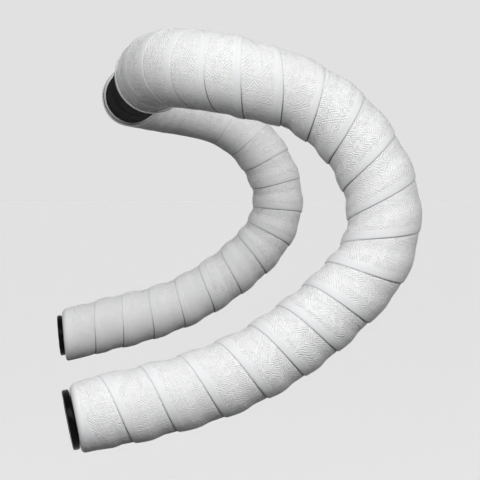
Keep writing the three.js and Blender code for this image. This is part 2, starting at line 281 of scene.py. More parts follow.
class NodeSheet:
    """A material's node tree, with short calls to add and join nodes."""

    def __init__(self, name: str) -> None:
        """Starts a material with a shader and nothing else.

        Args:
            name: The material's name.
        """
        self.material = bpy.data.materials.new(name)
        self.material.use_nodes = True
        self.tree = self.material.node_tree
        self.shader = self.tree.nodes["Principled BSDF"]

    def add(self, kind: str, **settings: object) -> bpy.types.Node:
        """A new node with its settings."""
        node = self.tree.nodes.new(kind)
        for name, value in settings.items():
            setattr(node, name, value)
        return node

    def join(self, value: object, socket: bpy.types.NodeSocket) -> None:
        """Gives an input socket a value, or the output that feeds it.

        Args:
            value: A number, a tuple or another node's output socket.
            socket: The input socket.
        """
        if isinstance(value, bpy.types.NodeSocket):
            self.tree.links.new(value, socket)
        else:
            socket.default_value = value

    def math(self, operation: str, *values: object) -> bpy.types.NodeSocket:
        """The result of a sum on one to three values."""
        node = self.add("ShaderNodeMath", operation=operation)
        for value, socket in zip(values, node.inputs):
            self.join(value, socket)
        return node.outputs[0]

    def rise(
        self, value: object, low: float, high: float, to_low: float = 0.0, to_high: float = 1.0
    ) -> object:
        """A value that goes smoothly from to_low to to_high while the input goes from low to high."""
        node = self.add("ShaderNodeMapRange", interpolation_type="SMOOTHSTEP")
        for given, name in (
            (value, "Value"), (low, "From Min"), (high, "From Max"), (to_low, "To Min"), (to_high, "To Max"),
        ):
            self.join(given, node.inputs[name])
        return node.outputs["Result"]

    def noise(self, where: object, scale: float, detail: float = 2.0, roughness: float = 0.5) -> object:
        """Smooth noise from 0 to 1 at some coordinates."""
        node = self.add("ShaderNodeTexNoise")
        self.join(where, node.inputs["Vector"])
        self.join(scale, node.inputs["Scale"])
        self.join(detail, node.inputs["Detail"])
        self.join(roughness, node.inputs["Roughness"])
        return node.outputs["Fac"]

    def chances(self, first: object, second: object) -> tuple[object, object]:
        """Two fixed chance values from 0 to 1 for each pair of whole numbers."""
        pair = self.add("ShaderNodeCombineXYZ")
        self.join(first, pair.inputs[0])
        self.join(second, pair.inputs[1])
        chance = self.add("ShaderNodeTexWhiteNoise", noise_dimensions="3D")
        self.join(pair.outputs[0], chance.inputs["Vector"])
        parts = self.add("ShaderNodeSeparateColor")
        self.join(chance.outputs["Color"], parts.inputs[0])
        return parts.outputs[0], parts.outputs[1]

    def stretched(self, where: object, scale: tuple[float, float, float]) -> object:
        """Coordinates that are scaled by a Mapping node."""
        node = self.add("ShaderNodeMapping")
        self.join(where, node.inputs["Vector"])
        self.join(scale, node.inputs["Scale"])
        return node.outputs["Vector"]

    def blend(self, share: object, first: object, second: object) -> object:
        """A colour a share of the way from the first to the second."""
        node = self.add("ShaderNodeMix", data_type="RGBA")
        self.join(share, node.inputs[0])
        self.join(first, node.inputs[6])
        self.join(second, node.inputs[7])
        return node.outputs[2]

    def bump(self, height: object, depth: float, strength: float = 1.0, below: object = None) -> object:
        """A normal bent by a height from 0 to 1 of some depth, over another normal where one is given."""
        node = self.add("ShaderNodeBump")
        self.join(height, node.inputs["Height"])
        self.join(depth, node.inputs["Distance"])
        self.join(strength, node.inputs["Strength"])
        if below is not None:
            self.join(below, node.inputs["Normal"])
        return node.outputs["Normal"]

    def object_place(self) -> object:
        """The point's own coordinates in metres."""
        return self.add("ShaderNodeTexCoord").outputs["Object"]

    def set(self, **inputs: object) -> None:
        """Sets the shader's inputs, each named with underscores for spaces."""
        for name, value in inputs.items():
            spoken = name.replace("_", " ").title().replace("Ior", "IOR")
            self.join(value, self.shader.inputs[spoken])


Colour = tuple[float, float, float, float]


@dataclass(frozen=True)
class TapeFinish:
    """White synthetic tape: an embossed grain of short strokes with painted shade in its grooves, smooth
    borders and painted dark shade along the turns' edges.
    """

    colour: Colour = (0.90, 0.902, 0.905, 1.0)
    # Painted shade: the grain's grooves are painted greyer
    groove_shade_colour: Colour = (0.855, 0.86, 0.87, 1.0)
    border_colour: Colour = (0.78, 0.786, 0.798, 1.0)
    worn_colour: Colour = (0.85, 0.85, 0.845, 1.0)
    # Painted shade: the dark lines along the turns' edges, darkest underneath
    edge_shade_colour: Colour = (0.16, 0.155, 0.15, 1.0)
    roughness: float = 0.52
    grain_roughness: float = 0.62
    gloss: float = 0.08
    dash_spacing: float = 1.35
    cell: float = 2.2
    dash_lean: float = 1.0
    dash_waver: float = 1.3
    border: float = 3.4
    border_softness: float = 1.0
    grain_depth: float = 0.00032
    streak_depth: float = 0.00018
    leather_depth: float = 0.0001
    strip_map: str = "strip"
    # The vertex layer that carries the painted edge shade
    edge_shade_layer: str = "edge_shade"

    def material(self) -> bpy.types.Material:
        """The tape's material, which follows the strip round the bar.

        Returns:
            The material. It reads the strip's UV map in millimetres, along and across the strip.
        """
        sheet = NodeSheet("tape_white_embossed")
        strip = sheet.add("ShaderNodeUVMap", uv_map=self.strip_map).outputs["UV"]
        split = sheet.add("ShaderNodeSeparateXYZ")
        sheet.join(strip, split.inputs[0])
        along, across = split.outputs[0], split.outputs[1]

        # Small uneven patches of short strokes, each patch leaning one way or the other
        sway = sheet.noise(strip, 0.23, 2.0)
        drift = sheet.noise(sheet.stretched(strip, (0.9, 1.2, 1.0)), 0.21, 2.0)
        row = sheet.math("MULTIPLY_ADD", sway, self.dash_waver, along)
        column = sheet.math("MULTIPLY_ADD", drift, self.dash_waver, across)
        rows = sheet.math("FLOOR", sheet.math("DIVIDE", row, self.cell))
        columns = sheet.math("FLOOR", sheet.math("DIVIDE", column, self.cell))
        way, start = sheet.chances(rows, columns)
        turned = sheet.math("GREATER_THAN", way, 0.5)
        lean = sheet.math("MULTIPLY_ADD", turned, 2 * self.dash_lean, -self.dash_lean)
        moved = sheet.math("MULTIPLY_ADD", start, self.dash_spacing, column)
        leaned = sheet.math("MULTIPLY_ADD", row, lean, moved)
        wave = sheet.math("SINE", sheet.math("MULTIPLY", leaned, FULL_TURN / self.dash_spacing))
        dash = sheet.rise(wave, -0.5, 0.95)
        from_row = sheet.math("PINGPONG", row, self.cell / 2)
        from_column = sheet.math("PINGPONG", column, self.cell / 2)
        from_seam = sheet.math("MINIMUM", from_row, from_column)
        broken = sheet.math("MULTIPLY", dash, sheet.rise(from_seam, 0.0, 0.3))
        on_band = sheet.rise(across, self.border - self.border_softness, self.border + self.border_softness)
        patchy = sheet.rise(sheet.noise(strip, 0.4, 3.0, 0.65), 0.3, 0.65, 0.35, 1.0)
        grain = sheet.math("MULTIPLY", sheet.math("MULTIPLY", broken, on_band), patchy)

        # Fine streaks along the strip, where it was pulled tight, and the sheet's own fine texture
        streaks = sheet.noise(sheet.stretched(strip, (0.05, 1.1, 1.0)), 1.0, 3.0, 0.6)
        leather = sheet.noise(strip, 1.6, 3.0, 0.6)
        pulled = sheet.bump(streaks, self.streak_depth)
        textured = sheet.bump(leather, self.leather_depth, 1.0, pulled)
        pressed = sheet.math("SUBTRACT", 1.0, grain)
        embossed = sheet.bump(pressed, self.grain_depth, 1.0, textured)

        # Colour: painted shade that greys the grooves, slightly handled in patches, and painted dark shade
        # along the turns' edges
        handled = sheet.rise(sheet.noise(sheet.object_place(), 22.0, 3.0), 0.45, 0.75, 0.0, 0.5)
        base = sheet.blend(handled, self.colour, self.worn_colour)
        pulled_flat = sheet.math("SUBTRACT", 1.0, on_band)
        streak = sheet.math("MULTIPLY", sheet.rise(streaks, 0.3, 0.7, 0.6, 1.0), pulled_flat)
        bordered = sheet.blend(streak, base, self.border_colour)
        # Painted shade in the grain's pressed grooves
        groove_shaded = sheet.blend(grain, bordered, self.groove_shade_colour)
        # Painted shade: dark lines along the turns' edges, read from the tape's layer
        edge_shade = sheet.add("ShaderNodeAttribute", attribute_name=self.edge_shade_layer).outputs["Fac"]
        edge_shaded = sheet.blend(sheet.rise(edge_shade, 0.05, 0.95), groove_shaded, self.edge_shade_colour)
        rough = sheet.rise(grain, 0.0, 1.0, self.roughness, self.grain_roughness)
        sheet.set(Base_Color=edge_shaded, Roughness=rough, Normal=embossed)
        sheet.set(Specular_Ior_Level=self.gloss)
        return sheet.material


@dataclass(frozen=True)
class BarFinish:
    """Satin black coating over aluminium."""

    colour: Colour = (0.003, 0.003, 0.0031, 1.0)
    worn_colour: Colour = (0.005, 0.0046, 0.0043, 1.0)
    roughness: float = 0.6
    gloss: float = 0.0015

    def material(self) -> bpy.types.Material:
        """The bare bar's material."""
        sheet = NodeSheet("bar_satin_black")
        place = sheet.object_place()
        speckle = sheet.noise(place, 900.0, 2.0)
        cloud = sheet.noise(place, 40.0, 3.0)
        sheet.set(
            Base_Color=sheet.blend(sheet.rise(cloud, 0.4, 0.7), self.colour, self.worn_colour),
            Roughness=sheet.rise(cloud, 0.3, 0.7, self.roughness - 0.05, self.roughness + 0.08),
            Normal=sheet.bump(speckle, 0.00002),
            Specular_Ior_Level=self.gloss,
        )
        return sheet.material


@dataclass(frozen=True)
class PlugFinish:
    """Glossy black moulded plastic."""

    colour: Colour = (0.0008, 0.0008, 0.0008, 1.0)
    scuffed_colour: Colour = (0.003, 0.003, 0.003, 1.0)
    roughness: float = 0.16
    gloss: float = 0.06

    def material(self) -> bpy.types.Material:
        """The end plugs' material."""
        sheet = NodeSheet("plug_gloss_black")
        place = sheet.object_place()
        cloud = sheet.noise(place, 120.0, 3.0)
        ripple = sheet.noise(place, 260.0, 2.0)
        sheet.set(
            Base_Color=sheet.blend(sheet.rise(cloud, 0.5, 0.8), self.colour, self.scuffed_colour),
            Roughness=sheet.rise(cloud, 0.3, 0.8, self.roughness, self.roughness + 0.14),
            Normal=sheet.bump(ripple, 0.00003),
            Specular_Ior_Level=self.gloss,
        )
        return sheet.material


@dataclass(frozen=True)
class FinishingFinish:
    """Thin smooth vinyl strip, pale and faintly woven."""

    colour: Colour = (0.75, 0.76, 0.78, 1.0)
    thread_colour: Colour = (0.66, 0.67, 0.69, 1.0)
    roughness: float = 0.42
    thread_spacing: float = 0.6

    def material(self) -> bpy.types.Material:
        """The finishing tape's material, which reads the strip's UV map in millimetres."""
        sheet = NodeSheet("finishing_tape_pale")
        strip = sheet.add("ShaderNodeUVMap", uv_map="strip").outputs["UV"]
        split = sheet.add("ShaderNodeSeparateXYZ")
        sheet.join(strip, split.inputs[0])
        lengthwise = sheet.math("PINGPONG", split.outputs[1], self.thread_spacing / 2)
        crosswise = sheet.math("PINGPONG", split.outputs[0], self.thread_spacing / 2)
        thread = sheet.math("MULTIPLY", lengthwise, crosswise)
        woven = sheet.rise(thread, 0.0, (self.thread_spacing / 2) ** 2)
        cloud = sheet.noise(strip, 0.2, 3.0)
        sheet.set(
            Base_Color=sheet.blend(sheet.math("MULTIPLY", cloud, 0.5), self.colour, self.thread_colour),
            Roughness=sheet.rise(cloud, 0.3, 0.7, self.roughness - 0.05, self.roughness + 0.1),
            Normal=sheet.bump(woven, 0.00004),
        )
        return sheet.material


# Work on a mesh in edit mode

class Bench:
    """Short calls for shaping one mesh by hand, with everything else deselected."""

    @staticmethod
    def clear() -> None:
        """Leaves edit mode and deselects every object."""
        if bpy.context.object and bpy.context.object.mode != "OBJECT":
            bpy.ops.object.mode_set(mode="OBJECT")
        bpy.ops.object.select_all(action="DESELECT")

    @staticmethod
    def lay(mesh: bpy.types.Mesh) -> bpy.types.Object:
        """Makes an object of a mesh, under the mesh's name, and selects it alone.

        Args:
            mesh: The finished mesh.

        Returns:
            The object, which is the active one.
        """
        piece = bpy.data.objects.new(mesh.name, mesh)
        bpy.context.scene.collection.objects.link(piece)
        Bench.clear()
        piece.select_set(True)
        bpy.context.view_layer.objects.active = piece
        return piece

    @staticmethod
    def edit() -> None:
        """Opens the active object's mesh with all of it selected."""
        bpy.ops.object.mode_set(mode="EDIT")
        bpy.ops.mesh.select_all(action="SELECT")

    @staticmethod
    def close() -> None:
        """Closes the mesh."""
        bpy.ops.object.mode_set(mode="OBJECT")

    @staticmethod
    def pick(kind: str, wanted: Callable[[object], bool]) -> None:
        """Selects some of the active mesh's faces or edges, and leaves it open.

        Args:
            kind: "FACE" or "EDGE".
            wanted: Tells whether a face or an edge is selected.
        """
        bpy.ops.object.mode_set(mode="EDIT")
        bpy.ops.mesh.select_mode(type=kind)
        bpy.ops.mesh.select_all(action="DESELECT")
        Bench.close()
        mesh = bpy.context.object.data
        for part in mesh.polygons if kind == "FACE" else mesh.edges:
            part.select = wanted(part)
        bpy.ops.object.mode_set(mode="EDIT")

    @staticmethod
    def extrude(move: np.ndarray) -> None:
        """Extrudes what is selected and moves it."""
        bpy.ops.mesh.extrude_region_move(TRANSFORM_OT_translate={"value": tuple(float(x) for x in move)})

    @staticmethod
    def scale(factor: float, centre: np.ndarray) -> None:
        """Scales what is selected about a point."""
        bpy.ops.transform.resize(value=(factor,) * 3, center_override=tuple(float(x) for x in centre))

    @staticmethod
    def modifier(kind: str, **settings: object) -> None:
        """Adds a modifier to the active object and applies it."""
        bpy.ops.object.modifier_add(type=kind)
        modifier = bpy.context.object.modifiers[-1]
        for name, value in settings.items():
            setattr(modifier, name, value)
        bpy.ops.object.modifier_apply(modifier=modifier.name)

    @staticmethod
    def smooth(angle: float = math.radians(35)) -> None:
        """Shades the active object smooth, apart from edges sharper than an angle."""
        bpy.ops.object.shade_smooth_by_angle(angle=angle)


def fit_to_frame(piece: bpy.types.Object, node: str, material: bpy.types.Material) -> None:
    """Puts a finished piece in a CAD node's place, with its material.

    Args:
        piece: The finished piece, with its place in its mesh.
        node: The CAD node that it stands for.
        material: Its material.
    """
    piece.data.materials.clear()
    piece.data.materials.append(material)
    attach(piece, "root")
    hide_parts(node)
    log.info("%s: %d faces, in place of %s", piece.name, len(piece.data.polygons), node)


# The bare bar

@dataclass
class BareBar:
    """The bent tube, with its thicker clamp section in the middle."""

    centreline: Centreline
    sides: int = 64
    taper_steps: int = 10
    bend_step: float = math.radians(3)
    rim_rounding: float = 0.0003

    def build(self) -> bpy.types.Object:
        """Draws the bar out from a ring in the middle, then mirrors it and gives it its wall.

        Returns:
            The finished bar.
        """
        sizes = self.centreline.sizes
        Bench.clear()
        bpy.ops.mesh.primitive_circle_add(
            vertices=self.sides, radius=sizes.clamp_radius, rotation=(math.pi / 2, 0, 0)
        )
        bar = bpy.context.object
        bar.name = bar.data.name = "bar_tube"
        bpy.ops.object.transform_apply(location=True, rotation=True, scale=True)
        Bench.edit()
        self.draw_top()
        for stretch in self.centreline.stretches[1:]:
            if stretch.radius:
                self.draw_bend(stretch)
            else:
                self.draw_line(stretch)
        Bench.close()
        Bench.modifier("MIRROR", use_axis=(False, True, False), merge_threshold=1e-5)
        Bench.edit()
        bpy.ops.mesh.remove_doubles(threshold=1e-6)
        bpy.ops.mesh.normals_make_consistent(inside=False)
        Bench.close()
        Bench.modifier("SOLIDIFY", thickness=sizes.tube_wall, offset=-1.0, use_even_offset=True)
        Bench.modifier(
            "BEVEL", width=self.rim_rounding, segments=2, limit_method="ANGLE", angle_limit=math.radians(60)
        )
        Bench.smooth()
        return bar

    def draw_top(self) -> None:
        """The clamp section, the taper and the rest of the straight top."""
        sizes = self.centreline.sizes
        outwards = self.centreline.stretches[0].forward
        Bench.extrude(outwards * sizes.clamp_half_length)
        radius = sizes.clamp_radius
        for step in range(1, self.taper_steps + 1):
            reached = sizes.clamp_half_length + sizes.taper_length * step / self.taper_steps
            Bench.extrude(outwards * (sizes.taper_length / self.taper_steps))
            narrower = float(self.centreline.bar_radius(np.array([self.centreline.length - reached]))[0])
            Bench.scale(narrower / radius, outwards * reached)
            radius = narrower
        Bench.extrude(outwards * (sizes.top_length - sizes.clamp_half_length - sizes.taper_length))

    def draw_line(self, stretch: Stretch) -> None:
        """A straight stretch. The last one stops at the bar's own end, inside the tape's cover."""
        sizes = self.centreline.sizes
        last = stretch is self.centreline.stretches[-1]
        length = stretch.length - (sizes.end_cover + sizes.clearance if last else 0.0)
        Bench.extrude(stretch.forward * length)

    def draw_bend(self, stretch: Stretch) -> None:
        """A round bend, spun about its centre."""
        angle = stretch.length / stretch.radius
        centre = stretch.place + stretch.towards * stretch.radius
        bpy.ops.mesh.spin(
            steps=math.ceil(angle / self.bend_step),
            angle=-angle,
            center=tuple(float(x) for x in centre),
            axis=tuple(float(x) for x in stretch.normal),
        )


# The wound tape

@dataclass(frozen=True)
class Shift:
    """A stretch where the wound section lies a little higher or lower, and how much it swells there.

    It rises over its first quarter, stays at full height for half and falls over its last quarter.
    """

    start: float
    length: float
    up: float
    swell: float = 0.0


@dataclass(frozen=True)
class Winding:
    """How one side was wound, from the bar end to the middle.

    Attributes:
        side: The side of the handlebar.
        pitch: The length from one exposed edge to the next on the drop and the hook.
        corner_pitch: The same round the corner, where the turns lie closer together.
        first_edge: The station of the first exposed edge.
        end_build_up: What the turns add at the bar end.
        end_reach: How far the end face stands out past the first station.
        end_lean: The end face's lean, which the plug shares.
        closer_from: The station where the closer turns begin.
        quiet_from: The station where the edges begin to lie flat.
        shifts: The stretches where the section lies higher or lower.
        wander: The most that the edges stray from their even pitch.
        wander_from: The turn where the straying begins.
        wander_turns: The turns that it lasts.
        phase: Sets this side's own unevenness.
    """

    side: Side
    pitch: float
    corner_pitch: float
    first_edge: float
    end_build_up: float
    end_reach: float
    end_lean: float
    closer_from: float
    quiet_from: float
    shifts: tuple[Shift, ...]
    wander: float
    wander_from: float
    wander_turns: float
    phase: float


RIGHT_WINDING = Winding(
    side=Side.RIGHT,
    pitch=0.0177,
    corner_pitch=0.0109,
    first_edge=0.0175,
    end_build_up=-0.0002,
    end_reach=0.0004,
    end_lean=math.radians(2.6),
    closer_from=0.2598,
    quiet_from=0.272,
    shifts=(
        Shift(-0.060, 0.080, 0.0001, -0.0007),
        Shift(0.000, 0.110, -0.0007),
        Shift(0.254, 0.060, 0.0012, 0.0003),
    ),
    wander=0.0032,
    wander_from=0.0,
    wander_turns=6.5,
    phase=0.7,
)
LEFT_WINDING = Winding(
    side=Side.LEFT,
    pitch=0.0181,
    corner_pitch=0.0115,
    first_edge=0.026,
    end_build_up=0.0017,
    end_reach=0.0038,
    end_lean=math.radians(8.5),
    closer_from=0.264,
    quiet_from=0.222,
    shifts=(
        Shift(-0.060, 0.100, -0.0001, -0.0008),
        Shift(0.050, 0.110, -0.0008),
        Shift(0.215, 0.050, -0.0007),
    ),
    wander=0.0065,
    wander_from=-0.5,
    wander_turns=12.0,
    phase=2.9,
)


@dataclass
class WoundTape:
    """A long cushioned strip wound round the bar, tucked into its end and cut off beside the bare middle."""

    centreline: Centreline
    winding: Winding
    finish: TapeFinish
    width: float = 0.030
    thickness: float = 0.0027
    edge_thickness: float = 0.0009
    fullness: float = 0.7
    feather: float = 0.006
    relief: float = 0.6
    edge_step: float = 0.0005
    corner_lift: float = 0.15
    # tight_edge and corner_edge also set the painted edge shade: lighter on top and round the corner
    tight_edge: float = 0.1
    corner_edge: float = 0.3
    quiet_length: float = 0.03
    quiet_start: float = 0.008
    end_build_up_length: float = 0.090
    slack: float = 0.0003
    corner_build_up: float = 0.0011
    corner_build_up_length: float = 0.030
    hook_swell: float = 0.0014
    hook_start: float = 0.115
    hook_length: float = 0.128
    tops_build_up_length: float = 0.030
    edge_trail: float = 0.008
    bare_half_length: float = 0.1293
    finishing_width: float = 0.013
    end_thickness: float = 0.001
    finish_fade: float = 0.009
    top_lip_radius: float = 0.002
    lip_radius: float = 0.0034
    tuck_thickness: float = 0.001
    tuck_depth: float = 0.012
    groove_width: float = 0.00042
    groove_depth: float = 0.00035
    unevenness: float = 0.00016
    edge_columns: tuple[float, ...] = (0.0, 0.00004, 0.0002, 0.00055, 0.0012)
    edge_rounding: tuple[float, ...] = (0.45, 0.86, 0.98)
    # Each edge column's share of the painted edge shade
    edge_shade_shares: tuple[tuple[int, float], ...] = ((0, 1.0), (1, 0.8), (2, 0.2), (-1, 0.15))
    squeeze_below: float = 0.007
    throat_rounding: float = 0.0006
    throat_taper: float = 0.0002
    snap: float = 0.00012
    rail_step: float = 0.0005
    most_turns: int = 60
    rail_before: int = 5
    rail_after: int = 6
    sides: int = 112
    even_columns: int = 17
    turns_before: int = 3
    turns_after: int = 3
    lip_steps: int = 6
    lining_rings: int = 90

    def __post_init__(self) -> None:
        """Works out the lengths that the rest of the winding is set by."""
        sizes = self.centreline.sizes
        self.tape_end = self.centreline.length - self.bare_half_length
        self.finish_start = self.tape_end - self.finishing_width
        self.seat_radius = sizes.clamp_radius + sizes.clearance + self.end_thickness
        self.winding_radius = sizes.tube_radius + sizes.clearance + 1.5 * self.thickness
        self.tuck_radius = sizes.tube_radius - sizes.tube_wall - sizes.clearance
        self.throat_radius = self.tuck_radius - self.tuck_thickness
        self.angles = FULL_TURN * np.arange(self.sides + 1) / self.sides
        upper = smooth((1 + np.sin(self.angles[:-1])) / 2)
        self.lip = mix(self.lip_radius, self.top_lip_radius, upper)

    def strip_thickness(self, from_edge: np.ndarray) -> np.ndarray:
        """The strip's thickness a given way in from its exposed edge, fading out towards its hidden edge."""
        inside = (from_edge >= 0) & (from_edge <= self.width)
        share = np.clip(from_edge / self.width, 0.0, 1.0)
        swell = np.sin(math.pi * share) ** self.fullness
        fade = np.clip((from_edge - self.width + self.feather) / self.feather, 0.0, 1.0)
        full = mix(self.edge_thickness, self.thickness, swell)
        return np.where(inside, full * np.cos(fade * math.pi / 2), 0.0)

    def layers(self, share: np.ndarray) -> np.ndarray:
        """The height of the wound layers a share of the way from one exposed edge to the next."""
        pitch = self.winding.pitch
        total = np.zeros_like(share)
        for layer in range(math.ceil(self.width / pitch) + 1):
            total += self.strip_thickness((share + layer) * pitch)
        return total

    def relaxed_layers(self, share: np.ndarray, lift: np.ndarray) -> np.ndarray:
        """The layers with their swell and their edges drawn down, as the strip's pull does.

        Args:
            share: The share of the way from one exposed edge to the next.
            lift: How far the swell and the edge stand out, from 0 to 1.

        Returns:
            The height over the bar. Its mean over a turn doesn't change with the lift.
        """
        first, last = self.layers(np.array([1e-6, 1.0]))
        evenly = np.linspace(1e-6, 1.0, 60)
        fill = float(np.mean(self.layers(evenly) - mix(first, last, evenly)))
        swell = self.layers(share) - mix(first, last, share) - fill
        step = self.edge_step * (0.5 - share)
        return (first + last) / 2 + fill + (swell * self.relief + step) * lift

    def lift(self, stations: np.ndarray) -> np.ndarray:
        """How far the turns stand out: less round the corner, and not at all at the lip."""
        corner = smooth((stations - self.winding.quiet_from + self.quiet_length) / self.quiet_length)
        return mix(1.0, self.corner_lift, corner) * smooth((stations - self.quiet_start) / self.quiet_start)

    def openness_and_shade(self, stations: np.ndarray) -> np.ndarray:
        """How open the turns' edges are, which also sets how dark their painted shade is: shut on top and
        round the corner, open underneath.

        Args:
            stations: The stations of points, as turns by angles by columns.

        Returns:
            Numbers from 0 to 1.
        """
        below = mix(self.tight_edge, 1.0, smooth((0.6 - self.upward(stations)) / 1.5))
        corner = smooth((stations - self.winding.quiet_from) / self.quiet_length)
        from_lip = smooth((stations - self.quiet_start) / self.quiet_start)
        return below * mix(1.0, self.corner_edge, corner) * from_lip

    def station_of_turns(self, turns: np.ndarray) -> np.ndarray:
        """The station that a count of turns reaches. The turns lie closer together round the corner."""
        winding, end = self.winding, self.centreline.corner_end
        start = winding.closer_from
        waver = smooth_bump((turns - winding.wander_from) / winding.wander_turns) * winding.wander
        straight = winding.first_edge + turns * winding.pitch + waver
        round_corner = start + (straight - start) / winding.pitch * winding.corner_pitch
        past = end + (round_corner - end) / winding.corner_pitch * winding.pitch
        return np.where(straight <= start, straight, np.where(round_corner <= end, round_corner, past))

    def build_up(self, stations: np.ndarray) -> np.ndarray:
        """What the turns add where they crowd: near the bar end and round the corner."""
        line = self.centreline
        near_end = self.winding.end_build_up * (1 - smooth(stations / self.end_build_up_length))
        before = smooth(1 - (line.corner_start - stations) / self.corner_build_up_length)
        past = smooth((stations - line.corner_end) / self.tops_build_up_length)
        return self.slack + near_end + self.corner_build_up * (before - past)

    def lopsided(self, stations: np.ndarray) -> np.ndarray:
        """What the turns add to one side: outside the hook, and above or below where the section shifts.

        Args:
            stations: The stations of points, as turns by angles by columns.

        Returns:
            Heights to add.
        """
        outside = np.broadcast_to(-np.cos(self.angles)[None, :, None], stations.shape)
        hook = smooth_bump((stations - self.hook_start) / self.hook_length)
        added = self.hook_swell * hook * np.clip(outside, 0.0, 1.0)
        upward = self.upward(stations)
        for shift in self.winding.shifts:
            here = smooth(2 * smooth_bump((stations - shift.start) / shift.length))
            added = added + here * (shift.up * upward + shift.swell)
        return added

    def upward(self, stations: np.ndarray) -> np.ndarray:
        """How far the wound surface looks up at each point, from -1 to 1."""
        shape = stations.shape
        angles = np.broadcast_to(self.angles[None, :, None], shape).ravel()
        _, _, side, rise = self.centreline.frames(stations.ravel())
        return (side[:, 2] * np.cos(angles) + rise[:, 2] * np.sin(angles)).reshape(shape)

    def uneven(self, stations: np.ndarray, angles: np.ndarray) -> np.ndarray:
        """Slow swells and dips in the wound surface, as a hand leaves them."""
        phase = self.winding.phase
        ways = (
            np.sin(stations / 0.0061 + 2 * angles + phase),
            np.sin(stations / 0.0094 - 3 * angles + 2.1 * phase),
            np.sin(stations / 0.0158 + angles + 0.6 * phase),
        )
        return self.unevenness * (0.35 * ways[0] + 0.35 * ways[1] + 0.6 * ways[2])

    def bands(self) -> int:
        """How many turns the helical grid needs, with spare ones at both ends."""
        turns = np.arange(0, self.most_turns, 0.25)
        reached = turns[self.station_of_turns(turns) > self.tape_end][0]
        return self.turns_before + math.ceil(reached) + self.turns_after

    def column_shares(self) -> tuple[np.ndarray, np.ndarray]:
        """Where the columns of one turn lie.

        Returns:
            For each column a fixed length from the turn's own exposed edge, and the share of the rest of
            the turn that is added to it.
        """
        near = np.array(self.edge_columns)
        rest = np.arange(1, self.even_columns + 1) / self.even_columns
        lengths = np.concatenate([near, np.full(self.even_columns, near[-1])])
        shares = np.concatenate([np.zeros(len(near)), rest])
        return lengths, shares

    def grid(self) -> tuple[np.ndarray, np.ndarray, np.ndarray, np.ndarray, np.ndarray]:
        """The helical grid, before its ends are cut off.

        Returns:
            Stations, radii, lengths from the exposed edge, the lengths of the turns themselves and how
            much painted edge shade each point gets. All but the fourth are turns by angles by columns.
        """
        line = self.centreline
        bands = self.bands()
        pitch = self.winding.pitch
        fine = np.arange(-self.rail_before * pitch, self.tape_end + self.rail_after * pitch, self.rail_step)
        spread = line.points(fine[None, :], self.angles[:, None], self.winding_radius)
        steps = np.linalg.norm(np.diff(spread, axis=1), axis=2)
        lengths = np.concatenate([np.zeros((len(self.angles), 1)), np.cumsum(steps, axis=1)], axis=1)

        turns = np.arange(bands + 1)[:, None] - self.turns_before + self.angles[None, :] / FULL_TURN
        middles = self.station_of_turns(turns) + self.edge_trail
        edges = np.stack(
            [np.interp(middles[:, j], fine, lengths[j]) - self.edge_trail for j in range(len(self.angles))],
            axis=1,
        )
        turn_lengths = edges[1:] - edges[:-1]
        fixed, shares = self.column_shares()
        squeeze = np.clip(turn_lengths / self.squeeze_below, 0.0, 1.0)[:, :, None]
        start = fixed * squeeze
        free = turn_lengths[:, :, None] - (fixed[-1] + self.groove_width) * squeeze
        ways = start + free * shares
        reach = edges[:-1, :, None] + ways
        stations = np.stack(
            [np.interp(reach[:, j].ravel(), lengths[j], fine) for j in range(len(self.angles))], axis=1
        )
        stations = stations.reshape(bands, len(fixed), len(self.angles)).transpose(0, 2, 1)
        openness_and_shade, lift = self.openness_and_shade(stations), self.lift(stations)
        heights = self.relaxed_layers(ways / turn_lengths[:, :, None], lift)
        foot = self.relaxed_layers(np.ones_like(lift[:, :, 0]), lift[:, :, 0])
        heights[:, :, 0] = foot - self.groove_depth * openness_and_shade[:, :, 0]
        for column, share in enumerate(self.edge_rounding, start=1):
            heights[:, :, column] = mix(foot, heights[:, :, column], share)
        radii = line.bar_radius(stations) + line.sizes.clearance + heights + self.build_up(stations)
        radii = radii + self.uneven(stations, self.angles[None, :, None]) + self.lopsided(stations)
        seated = self.seat_radius + line.sizes.clearance
        fade = smooth((stations - self.finish_start + self.finish_fade) / self.finish_fade)
        radii = mix(radii, seated, fade)
        under = stations > self.finish_start - line.sizes.clearance
        radii = np.where(under, np.minimum(radii, self.seat_radius), radii)
        # Painted shade: each edge column takes its share, scaled by how open the edge is
        edge_shade = np.zeros_like(stations)
        for column, share in self.edge_shade_shares:
            edge_shade[:, :, column] = share * openness_and_shade[:, :, column]
        return stations, radii, ways, turn_lengths, edge_shade

    def lip_station(self, radii: np.ndarray) -> np.ndarray:
        """How far the leaned end face lies from its middle at each angle of the ring."""
        return -radii * np.sin(self.angles[:-1]) * math.tan(self.winding.end_lean) - self.winding.end_reach

    def lip_rings(self, first: np.ndarray, radii: np.ndarray) -> list[np.ndarray]:
        """The rounded lip, from the throat out to where the wound surface begins.

        Args:
            first: The stations where the wound surface begins.
            radii: Its radii there.

        Returns:
            Rings of points, from the inside outwards.
        """
        rings = []
        angles = self.angles[:-1]
        face = radii - self.lip
        for share in (0.0, 0.5, 1.0):
            radius = mix(self.throat_radius + self.throat_rounding, face, share)
            rings.append(self.centreline.points(self.lip_station(radius), angles, radius))
        for step in range(1, self.lip_steps):
            turn = math.pi / 2 * step / self.lip_steps
            radius = face + self.lip * math.sin(turn)
            rest = self.lip_station(radius)
            station = rest + (first - rest) * (1 - math.cos(turn))
            rings.append(self.centreline.points(station, angles, radius))
        return rings

